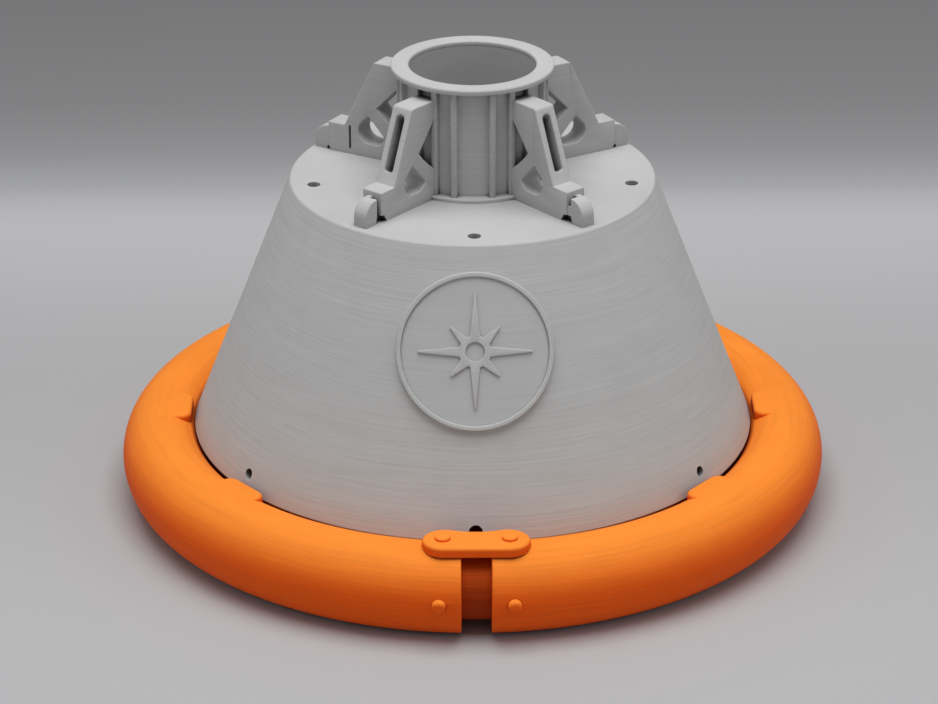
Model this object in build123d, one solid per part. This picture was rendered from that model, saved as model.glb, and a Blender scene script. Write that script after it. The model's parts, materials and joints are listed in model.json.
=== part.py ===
from build123d import *
import os
from math import asin, atan, cos, degrees, radians, sin, sqrt

# Desk model of a crew capsule sitting in its flotation collar, in printed grey and orange plastic.
# Millimetres. +Z is up, the front faces -Y, the origin is on the floor under the middle of the base.
# Azimuths are in degrees, 0 at the front and growing towards +X.

# Capsule shell: a cone with a flat deck, closed below by a dished shield
base_r = 70.0             # lower edge of the cone
deck_r = 44.6             # upper edge of the cone
cone_h = 64.9             # from the lower edge to the top of the deck
wall_t = 2.8              # wall of the cone, measured level
base_round = 0.4          # rounding of the lower edge
deck_round = 0.8          # rounding around the deck
rim_w = 1.4               # rim of the cone that shows around the deck plate
deck_t = 2.6              # deck plate
press_gap = 0.02          # clearance around the deck plate, which is pressed in
shield_t = 2.4            # wall of the shield
shield_lip = 1.0          # step inwards from the cone's edge to the shield
shield_gap = 0.8          # shield to the collar, halfway up the collar
dish_sag = 1.2            # bulge of the dish below a straight line from its foot to its rim
foot_r = 28.0             # flat foot of the shield
spigot_t = 2.2            # ring on the shield that the base screws go into
spigot_up = 7.0           # height of that ring above the cone's edge
seat_gap = 0.1            # clearance between round pieces that seat in or against each other

# Screw holes
front_hole_r = 1.7        # low hole at the front of the cone
front_hole_up = 2.2       # above the cone's edge
base_hole_r = 1.25        # the other holes around the foot of the cone
base_hole_up = 4.1
base_hole_azimuths = (52.7, 105, 156)        # the same on both sides
thread_less = 0.25        # the holes in the shield's ring are smaller by this radius
deck_hole_r = 1.6
deck_hole_inset = 5.5     # inside the deck's edge
deck_hole_azimuths = (0, 81, 180, -81)

# Tunnel on the deck
bore_r = 15.4
tunnel_t = 1.5            # wall of the tunnel
tunnel_h = 29.0
top_ring_w = 4.4          # level width of the ring on top
top_ring_t = 1.4
top_ring_round = 0.5
base_ring_w = 3.8         # level width of the ring at the foot
base_ring_t = 1.0
base_ring_round = 0.4
rib_depth = 1.5
rib_w = 1.5
rib_azimuths = (15, 71, 90, 148, 165)        # the same on both sides; two more stand by each gusset

# Gussets: radial plates between the tunnel and the deck, drawn as radius and height above the deck
gusset_azimuths = (39.6, 120.3)              # front and back pair, the same on both sides
gusset_span = 29.2        # from the bore to the deck's edge; on another deck the gussets stretch to fit
gusset_w = 5.8
gusset_top = 25.2         # height of the top face
head_reach = 10.8         # outer end of the top face, out from the tunnel's bore
head_round = 1.0          # rounding of the head's outer top edge
ledge_h = 7.5             # top of the ledge at the outer end
ledge_t = 1.3             # from there down to the top of the toe
ledge_inset = 6.9         # end of the front ledges inside the deck's edge
ledge_len = 4.7           # from the foot of the sloping arm outwards
back_reach = 1.9          # the back pair's arms and ledges reach further out by this
window_top = 23.6         # opening between the arm and the tunnel
window_foot = 6.4
window_tip_in = 9.3       # its outer tip, in from the arm's foot
window_tip_h = 13.2
window_sag = 0.8          # how far the lower side of that opening is curved
window_round = 0.4
slot_w = 2.4              # long slot in the arm's outer face
slot_above = 2.1          # solid left above and below the slot
slot_below = 3.2
slot_depth = 4.2
slot_foot_round = 0.6
toe_w = 3.8
toe_recess = 0.4          # side of the toe behind the side of the plate
toe_inset = 1.6           # end of the front toes inside the deck's edge
back_toe_inset = 0.8
toe_round = 4.0
slit_w = 1.2              # slit between plate and toe, on the side that faces the front
slit_depth = 2.2
half_slit_low = 4.0       # the front right slit is only open above this height
nick_low = 0.3            # small nick at the foot of the slit
nick_depth = 2.0
groove_w = 0.6            # upright groove in the back left plate
groove_depth = 1.0
groove_in = 1.6           # in from the arm's foot
groove_low = 1.5
# Small opening low in the plate: inwards from the arm's foot, height, rounding of the corner
eye_corners = (
    (6.9, 10.9, 0.5),
    (3.4, 7.2, 2.2),
    (5.2, 3.6, 2.2),
    (10.0, 3.6, 1.6),
    (11.8, 5.5, 0.9),
)
# Nick: outwards from the end of the ledge, height
nick_corners = ((-2.4, 0), (-0.9, 1.5), (1.3, 1.5), (1.9, 0))

# Emblem on the front: a raised disc that follows the cone
emblem_r = 18.6
emblem_up = 41.8          # centre, above the cone's edge
emblem_t = 0.9
emblem_band_w = 1.2
emblem_relief = 0.6       # height of the band and the star above the disc
star_long = 13.6          # reach of the four long points
star_short = 8.2
star_waist = 3.3
star_hub_r = 2.2

# Flotation collar: a ring of oval section, open at the front
tube_rx = 10.0            # half width of the section
tube_rz = 10.76           # half height of the section
tuck = 1.9                # how far the collar reaches in under the cone's edge
edge_gap = 0.9            # level clearance between the cone's edge and the collar
mouth_w = 7.1             # opening between the two ends at the front
neck_step = 3.2           # how much smaller the neck in the mouth is than the tube
neck_stop = 0.6           # wall between the neck's sockets and the clasp pins' holes
lug_azimuths = (50, 90, 130, 168)            # the same on both sides
lug_w = 14.0
lug_gap = 0.6             # lug to the cone's edge
lug_drop = 0.15           # top of the lug below the top of the tube
lug_round = 2.8
lug_edge_round = 0.9

# Clasp across the mouth: a link plate with two pins
link_len = 25.2
link_w = 10.2
link_t = 1.8              # above the top of the tube
link_skirt = 0.6          # below the top of the tube, where the tube falls away from it
link_inset = 0.6          # middle of the link inside the middle of the tube
link_gap = 0.25           # underside of the link to the tube
link_round = 0.8
link_waist = 1.1          # how far its back edge curves in between the pins
link_waist_w = 13.0       # length of that curve
pin_x = 7.8
pin_r = 1.4
pin_gap = 0.1
pin_len = 8.0             # below the top of the tube
pin_head_r = 1.85
pin_head_t = 0.75
pin_head_round = 0.4
knob_x = 8.8              # button heads low on both ends of the collar
knob_z = 11.0
knob_r = 1.75
knob_proud = 1.3
knob_hold = 4.0

# Sizes that follow from the ones above
tube_ring_r = base_r - tuck + tube_rx
edge_cos = (tube_ring_r - base_r - edge_gap) / tube_rx
base_z = tube_rz * (1 + sqrt(1 - edge_cos ** 2))
deck_z = base_z + cone_h
slope = (base_r - deck_r) / cone_h
lean = degrees(atan(slope))
tunnel_r = bore_r + tunnel_t
stretch = (deck_r - bore_r) / gusset_span
ledge_end_r = deck_r - ledge_inset * stretch
arm_foot_r = ledge_end_r - ledge_len * stretch
toe_top = ledge_h - ledge_t
tube_top = 2 * tube_rz
out = 3 * (base_r + tube_rx)      # larger than the model, for cutting


def cone_r(z):
    """Outer radius of the cone at height z."""
    return base_r - (z - base_z) * slope


def turned(shape, azimuth):
    """Turn a shape that was made along +X so that it points to an azimuth."""
    return shape.rotate(Axis.Z, azimuth - 90)


def revolved(*edges):
    """A solid of revolution from the closed outline of these edges in the XZ plane."""
    return revolve(make_face(Wire(edges)), Axis.Z)


def outline(points):
    """The closed polygon through these points, in the XZ plane."""
    return Wire(Polyline(*[(x, 0, z) for x, z in points], close=True).edges())


def slab(wire, width):
    """A wire in the XZ plane as a plate of this width, its middle in that plane."""
    return extrude(make_face(wire), width / 2, dir=(0, 1, 0), both=True)


def tube_section(grow):
    """The whole ring of the collar, grown by this much all round."""
    oval = Plane.XZ * Pos(tube_ring_r, tube_rz) * Ellipse(tube_rx + grow, tube_rz + grow)
    return revolve(oval, Axis.Z)


# Cone shell

def base_screw_holes(less):
    """Level drill holes around the foot of the cone, smaller by this radius."""
    def drill(radius, up, azimuth):
        bit = Pos(base_r / 2, 0, base_z + up) * Rot(0, 90, 0) * Cylinder(
            radius - less, base_r, align=(Align.CENTER, Align.CENTER, Align.MIN))
        return turned(bit, azimuth)
    holes = [drill(front_hole_r, front_hole_up, 0)]
    for azimuth in base_hole_azimuths:
        holes += [drill(base_hole_r, base_hole_up, side * azimuth) for side in (1, -1)]
    return holes


def cone_shell():
    seat_z = deck_z - deck_t
    points = [
        (base_r, base_z),
        (deck_r, deck_z),
        (deck_r - rim_w, deck_z),
        (deck_r - rim_w, seat_z),
        (cone_r(seat_z) - wall_t, seat_z),
        (base_r - wall_t, base_z),
    ]
    body = revolve(make_face(outline(points)), Axis.Z)
    for radius, rounding in ((deck_r, deck_round), (base_r, base_round)):
        edge = body.edges().filter_by(GeomType.CIRCLE).filter_by(lambda e: abs(e.radius - radius) < 0.01)
        body = fillet(edge, rounding)
    return body - base_screw_holes(0)


def deck_plate():
    plate_r = deck_r - rim_w - press_gap
    plate = Pos(0, 0, deck_z - deck_t) * Cylinder(
        plate_r, deck_t, align=(Align.CENTER, Align.CENTER, Align.MIN))
    hole = Pos(deck_r - deck_hole_inset, 0, deck_z) * Cylinder(deck_hole_r, out)
    return plate - [turned(hole, a) for a in deck_hole_azimuths]


def heat_shield():
    """Dished shell with a flat foot, a rim that the cone stands on, and the ring for the screws."""
    rim_r = base_r - tuck - shield_gap
    top_r = base_r - shield_lip
    spigot_r = cone_r(base_z + spigot_up) - wall_t - seat_gap
    mid_r = (foot_r + rim_r) / 2
    mid_z = tube_rz / 2 - dish_sag
    inner_rim_r = rim_r - shield_t
    inner_mid = ((foot_r + inner_rim_r) / 2, 0, tube_rz / 2 + shield_t - dish_sag)
    inner_z = tube_rz + shield_t
    corners = [
        (inner_rim_r, 0, inner_z),
        (spigot_r - spigot_t, 0, base_z),
        (spigot_r - spigot_t, 0, base_z + spigot_up),
        (spigot_r, 0, base_z + spigot_up),
        (spigot_r, 0, base_z),
        (top_r, 0, base_z),
        (rim_r, 0, tube_rz),
    ]
    body = revolved(
        Line((0, 0, 0), (foot_r, 0, 0)),
        ThreePointArc((foot_r, 0, 0), (mid_r, 0, mid_z), (rim_r, 0, tube_rz)),
        *Polyline(*reversed(corners)).edges(),
        ThreePointArc((inner_rim_r, 0, inner_z), inner_mid, (foot_r, 0, shield_t)),
        Line((foot_r, 0, shield_t), (0, 0, shield_t)),
        Line((0, 0, shield_t), (0, 0, 0)),
    )
    return body - base_screw_holes(thread_less)


# Emblem

def on_emblem():
    """Plane on the cone at the emblem's centre, facing outwards, its Y axis up the slope."""
    z = base_z + emblem_up
    normal = (0, -cos(radians(lean)), sin(radians(lean)))
    return Plane(origin=(0, -cone_r(z), z), x_dir=(1, 0, 0), z_dir=normal)


def cone_layer(low, high):
    """The layer between two heights above the cone's surface."""
    def grown(height):
        grow = height / cos(radians(lean))
        return Pos(0, 0, base_z) * Cone(
            base_r + grow, deck_r + grow, cone_h, align=(Align.CENTER, Align.CENTER, Align.MIN))
    return grown(high) - grown(low)


def emblem():
    """A disc that follows the cone, with a raised band and an eight-pointed star."""
    rows = []
    for i in range(8):
        reach = star_long if i % 2 == 0 else star_short
        rows.append((reach, i * 45))
        rows.append((star_waist, i * 45 + 22.5))
    tips = [(r * sin(radians(a)), r * cos(radians(a))) for r, a in rows]
    star = Polygon(*tips, align=None) + Circle(star_hub_r + star_waist / 2)
    band = Circle(emblem_r) - Circle(emblem_r - emblem_band_w)
    place = on_emblem()
    deep = emblem_r
    plate = extrude(place * Circle(emblem_r), deep, both=True)
    relief = extrude(place * (star - Circle(star_hub_r)), deep, both=True)
    relief += extrude(place * band, deep, both=True)
    disc = plate & cone_layer(seat_gap / 2, emblem_t)
    return disc + (relief & cone_layer(seat_gap / 2, emblem_t + emblem_relief))


# Tunnel

def ring(inner, outer, height, z):
    """A plain ring standing on height z above the deck."""
    sketch = Circle(outer) - Circle(inner)
    return Pos(0, 0, deck_z + z) * extrude(sketch, height)


def tunnel_wall():
    """The tube of the tunnel with its ribs, between the foot ring and the top ring."""
    height = tunnel_h - top_ring_t
    tube = ring(bore_r, tunnel_r, height, 0)
    rib_h = height - base_ring_t
    rib = Pos(tunnel_r - tunnel_t / 2, -rib_w / 2, deck_z + base_ring_t) * Box(
        rib_depth + tunnel_t / 2, rib_w, rib_h, align=(Align.MIN, Align.MIN, Align.MIN))
    beside = degrees(asin((gusset_w / 2 + rib_w / 2 + seat_gap) / tunnel_r))
    azimuths = [*rib_azimuths]
    for azimuth in gusset_azimuths:
        azimuths += [azimuth - beside, azimuth + beside]
    for azimuth in azimuths:
        tube += [turned(rib, azimuth), turned(rib, -azimuth)]
    return tube


def tunnel_top_ring():
    body = ring(bore_r, bore_r + top_ring_w, top_ring_t, tunnel_h - top_ring_t)
    rims = body.edges().filter_by(GeomType.CIRCLE).group_by(Axis.Z)[-1]
    return fillet(rims, top_ring_round)


def tunnel_base_ring():
    body = ring(tunnel_r + seat_gap / 2, bore_r + base_ring_w, base_ring_t, 0)
    rims = body.edges().filter_by(GeomType.CIRCLE).group_by(Axis.Z)[-1]
    return fillet(rims.sort_by(SortBy.RADIUS)[-1], base_ring_round)


# Gussets

def rounded(points, roundings):
    """The polygon through these points in the XZ plane, each corner with its own rounding; 0 is none."""
    face = make_face(outline(points))
    for (x, z), rounding in zip(points, roundings):
        if rounding > 0:
            corner = face.vertices().sort_by_distance((x, 0, z))[0]
            face = fillet(corner, rounding)
    return face


def nick(side, end_r, size):
    """What is cut away beside the foot of the slit; size is 1 for the full nick."""
    edge = outline([(end_r + x * size, nick_low + z * size) for x, z in nick_corners])
    return Pos(0, side * gusset_w / 2, 0) * slab(edge, 2 * nick_depth)


def gusset(side, reach, nick_size, has_groove):
    """One gusset along +X, standing on z=0; side is +1 or -1, the side of the plate that faces the front."""
    foot_r = arm_foot_r + reach * stretch
    end_r = ledge_end_r + reach * stretch
    head_r = bore_r + head_reach * stretch
    side_view = rounded([
        (bore_r, 0),
        (end_r, 0),
        (end_r, ledge_h),
        (foot_r, ledge_h),
        (head_r, gusset_top),
        (bore_r, gusset_top),
    ], [0, 0, 0, 0, head_round, 0])
    plate = extrude(side_view, gusset_w / 2, dir=(0, 1, 0), both=True)
    # Opening between the arm and the tunnel
    tip_r = foot_r - window_tip_in * stretch
    tip = (tip_r, 0, window_tip_h)
    foot = (bore_r, 0, window_foot)
    middle = ((bore_r + tip_r) / 2, 0, (window_foot + window_tip_h) / 2 - window_sag)
    window = make_face(Wire([
        Line((bore_r, 0, window_top), tip),
        ThreePointArc(tip, middle, foot),
        Line(foot, (bore_r, 0, window_top)),
    ]))
    window = fillet(window.vertices().sort_by_distance(tip)[0], window_round)
    plate -= extrude(window, gusset_w, dir=(0, 1, 0), both=True)
    eye = rounded([(foot_r - inwards * stretch, z) for inwards, z, _ in eye_corners],
                  [rounding * min(stretch, 1) for _, _, rounding in eye_corners])
    plate -= extrude(eye, gusset_w, dir=(0, 1, 0), both=True)
    # The long slot lies in the arm's outer face, round at its head and nearly square at its foot
    low = Vector(foot_r, 0, ledge_h)
    run = Vector(head_r, 0, gusset_top) - low
    arm_face = Plane(origin=low, x_dir=run.normalized(), z_dir=Vector(run.Z, 0, -run.X).normalized())
    slot_len = run.length - slot_above - slot_below
    slot = Pos(slot_below + slot_len / 2, 0) * Rectangle(slot_len, slot_w)
    slot = fillet(slot.vertices().group_by(Axis.X)[-1], slot_w / 2 - seat_gap / 2)
    slot = fillet(slot.vertices().group_by(Axis.X)[0], slot_foot_round)
    plate -= extrude(arm_face * slot, -slot_depth)
    plate -= nick(side, end_r, nick_size)
    if has_groove:
        plate -= Pos(foot_r - groove_in, side * gusset_w / 2, groove_low) * Box(
            groove_w, 2 * groove_depth, ledge_h - groove_low, align=(Align.CENTER, Align.CENTER, Align.MIN))
    # Room for the tunnel, its foot ring and the ribs beside the plate
    plate -= Cylinder(tunnel_r + seat_gap, out)
    return plate - Cylinder(bore_r + base_ring_w + seat_gap, 2 * (base_ring_t + seat_gap))


def toe(side, reach, inset, slit_low, nick_size):
    """The quarter-round block in front of one gusset, with the slit beside it open above slit_low."""
    start_r = ledge_end_r + reach * stretch
    end_r = deck_r - inset * stretch
    step_r = end_r - toe_round
    bend = (step_r + toe_round * cos(radians(45)), 0, toe_top - toe_round * (1 - sin(radians(45))))
    edge = Wire([
        *Polyline((end_r, 0, toe_top - toe_round), (end_r, 0, 0), (start_r, 0, 0),
                  (start_r, 0, toe_top), (step_r, 0, toe_top)).edges(),
        ThreePointArc((step_r, 0, toe_top), bend, (end_r, 0, toe_top - toe_round)),
    ])
    near_y = gusset_w / 2 - toe_recess
    block = Pos(0, side * (near_y - toe_w / 2), 0) * slab(edge, toe_w)
    block -= Pos(start_r, side * near_y, slit_low) * Box(
        2 * slit_w, 2 * slit_depth, toe_top, align=(Align.CENTER, Align.CENTER, Align.MIN))
    return block - nick(side, start_r, nick_size)


# Flotation collar

def pin_place(side):
    """Foot point of a clasp pin, at the height of the top of the tube."""
    return Pos(side * pin_x, link_inset - tube_ring_r, tube_top)


def knob_place(side):
    """Plane across a knob's axis where it comes out of the tube; its normal points outwards."""
    face_r = tube_ring_r + tube_rx * sqrt(1 - ((knob_z - tube_rz) / tube_rz) ** 2)
    y = -sqrt(face_r ** 2 - knob_x ** 2)
    return Plane(origin=(side * knob_x, y, knob_z), x_dir=(1, 0, 0), z_dir=(side * knob_x, y, 0))


def neck_solid(grow):
    """The neck, a thinner stretch of the ring, with a clearance all round."""
    end_x = pin_x - pin_r - pin_gap - neck_stop - seat_gap + grow
    return tube_section(grow - neck_step) & Pos(0, -tube_ring_r, tube_rz) * Box(
        2 * end_x, 4 * tube_rx, 4 * tube_rz)


def lug():
    """One pad along +X, from the top of the tube inwards to just outside the cone's edge."""
    tip_r = base_r + lug_gap
    top = tube_top - lug_drop
    block = Pos(tip_r, 0, tube_rz) * Box(
        tube_ring_r - tip_r, lug_w, top - tube_rz, align=(Align.MIN, Align.CENTER, Align.MIN))
    corners = block.edges().filter_by(Axis.Z)
    block = fillet(corners, lug_round)
    return fillet(block.faces().sort_by(Axis.Z)[-1].edges(), lug_edge_round)


def collar_half(side):
    """One half of the ring with its lugs, its end sockets and the hole for its knob."""
    half = Pos(side * out / 2, 0, 0) * Box(out, 2 * out, 2 * out)
    mouth = Pos(0, -tube_ring_r, tube_rz) * Box(mouth_w, 4 * tube_rx, 4 * tube_rz)
    body = (tube_section(0) & half) - mouth
    for azimuth in lug_azimuths:
        body += turned(lug(), side * azimuth)
    body -= neck_solid(seat_gap)
    body -= pin_place(side) * Cylinder(pin_r + pin_gap, 2 * (pin_len + pin_gap))
    bore = Circle(knob_r + seat_gap)
    return body - extrude(knob_place(side) * bore, knob_hold + seat_gap, both=True)


def knob(side):
    """Button-headed pin, its shank in the collar."""
    place = knob_place(side)
    shank = extrude(place * Circle(knob_r), -knob_hold)
    head = extrude(place * Circle(knob_r), knob_proud)
    cap = head.faces().sort_by(Axis.Y)[0]
    return shank + fillet(cap.edges(), knob_proud * 0.8)


# Clasp

def clasp_link():
    waist_r = (link_waist_w ** 2 / 4 + link_waist ** 2) / (2 * link_waist)
    waist = Pos(0, link_w / 2 - link_waist + waist_r) * Circle(waist_r)
    middle = Pos(0, link_inset - tube_ring_r, tube_top - link_skirt)
    plate = extrude(middle * (SlotOverall(link_len, link_w) - waist), link_skirt + link_t)
    plate = fillet(plate.faces().sort_by(Axis.Z)[-1].edges(), link_round)
    plate -= tube_section(link_gap)
    plate = max(plate.solids(), key=lambda s: s.center().Z)
    for side in (1, -1):
        plate -= pin_place(side) * Cylinder(pin_r + pin_gap, 4 * link_w)
    return plate


def clasp_pin(side):
    head_z = link_t
    shank = Pos(0, 0, -pin_len) * Cylinder(
        pin_r, pin_len + head_z, align=(Align.CENTER, Align.CENTER, Align.MIN))
    head = Pos(0, 0, head_z) * Cylinder(
        pin_head_r, pin_head_t, align=(Align.CENTER, Align.CENTER, Align.MIN))
    head = fillet(head.faces().sort_by(Axis.Z)[-1].edges(), pin_head_round)
    return pin_place(side) * (shank + head)


nodes = {
    "cone_shell": cone_shell(),
    "deck_plate": deck_plate(),
    "heat_shield": heat_shield(),
    "emblem": emblem(),
    "tunnel_wall": tunnel_wall(),
    "tunnel_top_ring": tunnel_top_ring(),
    "tunnel_base_ring": tunnel_base_ring(),
    "collar_neck": neck_solid(0),
    "clasp_link": clasp_link(),
}

# Gussets and toes: place, azimuth, further reach, toe's inset, height of the slit's foot, size of
# the nick, whether the plate has the groove. A slit that starts at the toe's top is no slit.
front, back = gusset_azimuths
for place, azimuth, reach, inset, slit_low, nick_size, has_groove in [
    ("front_right", front, 0, toe_inset, half_slit_low, 1, False),
    ("front_left", -front, 0, toe_inset, 0, 1, False),
    ("back_right", back, back_reach, back_toe_inset, toe_top, 0.5, False),
    ("back_left", -back, back_reach, back_toe_inset, toe_top, 0.5, True),
]:
    side = -1 if azimuth > 0 else 1
    on_deck = Pos(0, 0, deck_z)
    nodes["gusset_" + place] = turned(on_deck * gusset(side, reach, nick_size, has_groove), azimuth)
    nodes["toe_" + place] = turned(on_deck * toe(side, reach, inset, slit_low, nick_size), azimuth)

for word, side in (("right", 1), ("left", -1)):
    nodes["collar_" + word] = collar_half(side)
    nodes["knob_" + word] = knob(side)
    nodes["clasp_pin_" + word] = clasp_pin(side)

os.makedirs("parts", exist_ok=True)
for name, shape in nodes.items():
    export_step(shape, f"parts/{name}.step")
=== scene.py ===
# %% [markdown]
# # A printed desk model of a crew capsule
#
# The model is a light grey cone with a flat deck. A ribbed tunnel and four slotted gussets stand on
# the deck, and an orange flotation collar with a small clasp goes around the foot of the cone. It is
# printed plastic, so its faces are matt, its edges are soft and its walls carry fine level lines.
#
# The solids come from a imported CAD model, which is loaded as a fixed frame. Each piece is then
# modelled again in Blender, in the same place and at the same size but with the soft edges of a
# print, and takes over from its solid. Blender works in metres and the drawing in millimetres, so a
# length is multiplied by MM when it is used.

# %% Load the CAD model
import json
import math

import bmesh
import bpy
from mathutils import Matrix, Vector


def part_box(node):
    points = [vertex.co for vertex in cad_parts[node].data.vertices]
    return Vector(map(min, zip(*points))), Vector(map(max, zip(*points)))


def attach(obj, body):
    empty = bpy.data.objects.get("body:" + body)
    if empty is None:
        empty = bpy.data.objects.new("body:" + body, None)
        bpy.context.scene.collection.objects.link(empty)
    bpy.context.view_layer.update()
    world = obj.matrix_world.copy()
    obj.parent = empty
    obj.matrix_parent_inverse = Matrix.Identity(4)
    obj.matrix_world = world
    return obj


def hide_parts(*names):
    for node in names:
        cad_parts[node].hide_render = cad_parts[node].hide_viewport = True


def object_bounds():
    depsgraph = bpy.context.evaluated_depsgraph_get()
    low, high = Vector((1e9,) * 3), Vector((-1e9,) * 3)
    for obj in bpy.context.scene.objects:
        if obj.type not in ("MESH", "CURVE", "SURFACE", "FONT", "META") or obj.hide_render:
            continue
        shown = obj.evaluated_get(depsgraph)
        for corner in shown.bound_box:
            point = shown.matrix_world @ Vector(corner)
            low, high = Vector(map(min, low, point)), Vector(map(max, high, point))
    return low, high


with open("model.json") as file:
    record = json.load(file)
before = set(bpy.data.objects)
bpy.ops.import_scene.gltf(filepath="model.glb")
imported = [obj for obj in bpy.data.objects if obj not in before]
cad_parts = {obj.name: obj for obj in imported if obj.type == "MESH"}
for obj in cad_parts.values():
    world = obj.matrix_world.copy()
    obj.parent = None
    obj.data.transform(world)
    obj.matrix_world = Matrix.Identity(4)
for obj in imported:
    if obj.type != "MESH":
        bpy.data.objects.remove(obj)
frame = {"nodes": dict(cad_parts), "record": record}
cad_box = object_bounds()
MM = 0.001
for corner in cad_box:
    print("corner of the CAD box:", [round(c / MM, 1) for c in corner], "mm")
print("CAD nodes:", len(frame["nodes"]))

# %% [markdown]
# ## The sizes that the pieces share
#
# A few sizes tie the pieces together: the cone's two radii, its height and place, and the oval
# section of the collar's tube. They could be typed in again for each piece, but then a change would
# have to be made everywhere. A direction is an azimuth in degrees: 0 is the front, and it grows
# towards the right.

# %% Shared sizes
BASE_R, DECK_R, CONE_H = 70.0, 44.6, 64.9
BASE_Z = round(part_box("cone_shell")[0][2] / MM, 3)
DECK_Z = BASE_Z + CONE_H
SLOPE = (BASE_R - DECK_R) / CONE_H
TUBE_RX, TUBE_RZ = 10.18, 10.76
TUBE_TOP = 2 * TUBE_RZ
print("cone from", BASE_Z, "to", round(DECK_Z, 2), "mm, collar up to", TUBE_TOP, "mm")

# %% [markdown]
# ## The camera
#
# The photo looks down on the model by about 25 degrees with a long lens. A camera can be placed by
# eye, but the ellipses of the deck and the collar tell more: the focal length, the height and the
# distance below are the ones at which they agree. The camera stands half a degree to the left of
# the middle, as the places of the holes and the gussets show.

# %% Camera
PHOTO_W, FOCAL_PX, SENSOR_W = 938, 3459.06, 36
DISTANCE = 866
LOOK_DOWN = math.radians(24.587)
TO_LEFT, ROLL = math.radians(-0.55), math.radians(-0.06)
camera_data = bpy.data.cameras.new("camera")
camera_data.sensor_width = SENSOR_W
camera_data.lens = FOCAL_PX / PHOTO_W * SENSOR_W
camera_data.clip_start, camera_data.clip_end = 0.05, 20
camera = bpy.data.objects.new("camera", camera_data)
bpy.context.scene.collection.objects.link(camera)
aim = Vector((-0.9, 0, 35.36)) * MM
to_side = Matrix.Rotation(TO_LEFT, 3, "Z")
tilt = Matrix.Rotation(math.pi / 2 - LOOK_DOWN, 3, "X") @ Matrix.Rotation(ROLL, 3, "Z")
backwards = Vector((0, -math.cos(LOOK_DOWN), math.sin(LOOK_DOWN)))
camera.location = aim + to_side @ backwards * DISTANCE * MM
camera.rotation_euler = (to_side @ tilt).to_euler()
bpy.context.scene.camera = camera
print("camera at", [round(c, 3) for c in camera.location], "lens", round(camera_data.lens), "mm")

# %% [markdown]
# ## The light
#
# The photo has one large soft source overhead: level faces are bright, upright faces come out at
# about half of that, and the shadow under the collar is soft and close. A single small lamp would
# draw hard shadows. A wide area lamp gives the soft ones, a weaker one on each side in front opens
# them, and the world fills in the rest.

# %% Lamps and world
def lamp(name, place, size, power):
    """A square soft lamp that points at the middle of the model."""
    data = bpy.data.lights.new(name, "AREA")
    data.size = size
    data.energy = power
    light = bpy.data.objects.new(name, data)
    bpy.context.scene.collection.objects.link(light)
    light.location = place
    light.rotation_euler = (Vector((0, 0, 0.05)) - Vector(place)).to_track_quat("-Z", "Y").to_euler()
    print("lamp", name, power, "W")


lamp("overhead", (0, -0.1, 1.3), 1.1, 14)
lamp("front_right", (1.5, -0.7, 0.8), 0.9, 3.1)
lamp("front_left", (-1.5, -0.7, 0.8), 0.9, 2.2)
world = bpy.data.worlds.new("studio")
bpy.context.scene.world = world
world.use_nodes = True
sky = world.node_tree.nodes["Background"]
sky.inputs["Color"].default_value = (0.96, 0.98, 1, 1)
sky.inputs["Strength"].default_value = 0.27
bpy.context.scene.view_settings.view_transform = "Standard"
print("world at", round(sky.inputs["Strength"].default_value, 2))

# %% [markdown]
# ## Node helpers
#
# A material is a small network of nodes. Written out, each node takes several lines. Two helpers
# keep that short: one adds a node and sets its values, the other links pairs of sockets.

# %% Node helpers
def node(tree, kind, **values):
    """Add a node. in_0, in_1 and so on set its input sockets, any other name a property."""
    made = tree.nodes.new(kind)
    for key, value in values.items():
        if key.startswith("in_"):
            made.inputs[int(key[3:])].default_value = value
        else:
            setattr(made, key, value)
    return made


def link(tree, *pairs):
    """Join each pair of an output socket and an input socket."""
    for source, goal in pairs:
        tree.links.new(source, goal)


print("node helpers ready")

# %% [markdown]
# ## What a printed wall looks like
#
# A printer lays plastic in level layers of about a quarter of a millimetre. On a wall they show as
# fine lines, a little uneven in depth, with longer streaks where the flow changed. On a level face
# there are no layers to see, only the faint strokes of the last one. An image of such lines would
# need unwrapped pieces. A node group makes them from the height of a point instead, and every
# plastic shares it. It gives a colour, a roughness and a height for the bump.

# %% The group and its sockets
layers = bpy.data.node_groups.new("printed layers", "ShaderNodeTree")
for word, kind, value in [
    ("Color", "NodeSocketColor", (0.5, 0.5, 0.5, 1)),
    ("Wall Color", "NodeSocketColor", (0.5, 0.5, 0.5, 1)),
    ("Full From", "NodeSocketFloat", 0.5),
    ("Layer", "NodeSocketFloat", 0.00025),
    ("Streaks", "NodeSocketFloat", 0.05),
    ("Roughness", "NodeSocketFloat", 0.6),
]:
    layers.interface.new_socket(word, in_out="INPUT", socket_type=kind).default_value = value
for word, kind in [
    ("Color", "NodeSocketColor"),
    ("Roughness", "NodeSocketFloat"),
    ("Height", "NodeSocketFloat"),
]:
    layers.interface.new_socket(word, in_out="OUTPUT", socket_type=kind)
given = node(layers, "NodeGroupInput")
result = node(layers, "NodeGroupOutput")
print("sockets of the group:", len(layers.interface.items_tree))

# %% [markdown]
# ### Layers
#
# The lines follow the height in Object coordinates, because layers are level in the model and not
# along the surface. A sine wave makes the even lines. Real layers are never quite level, so a slow
# noise shifts the height first.

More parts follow.
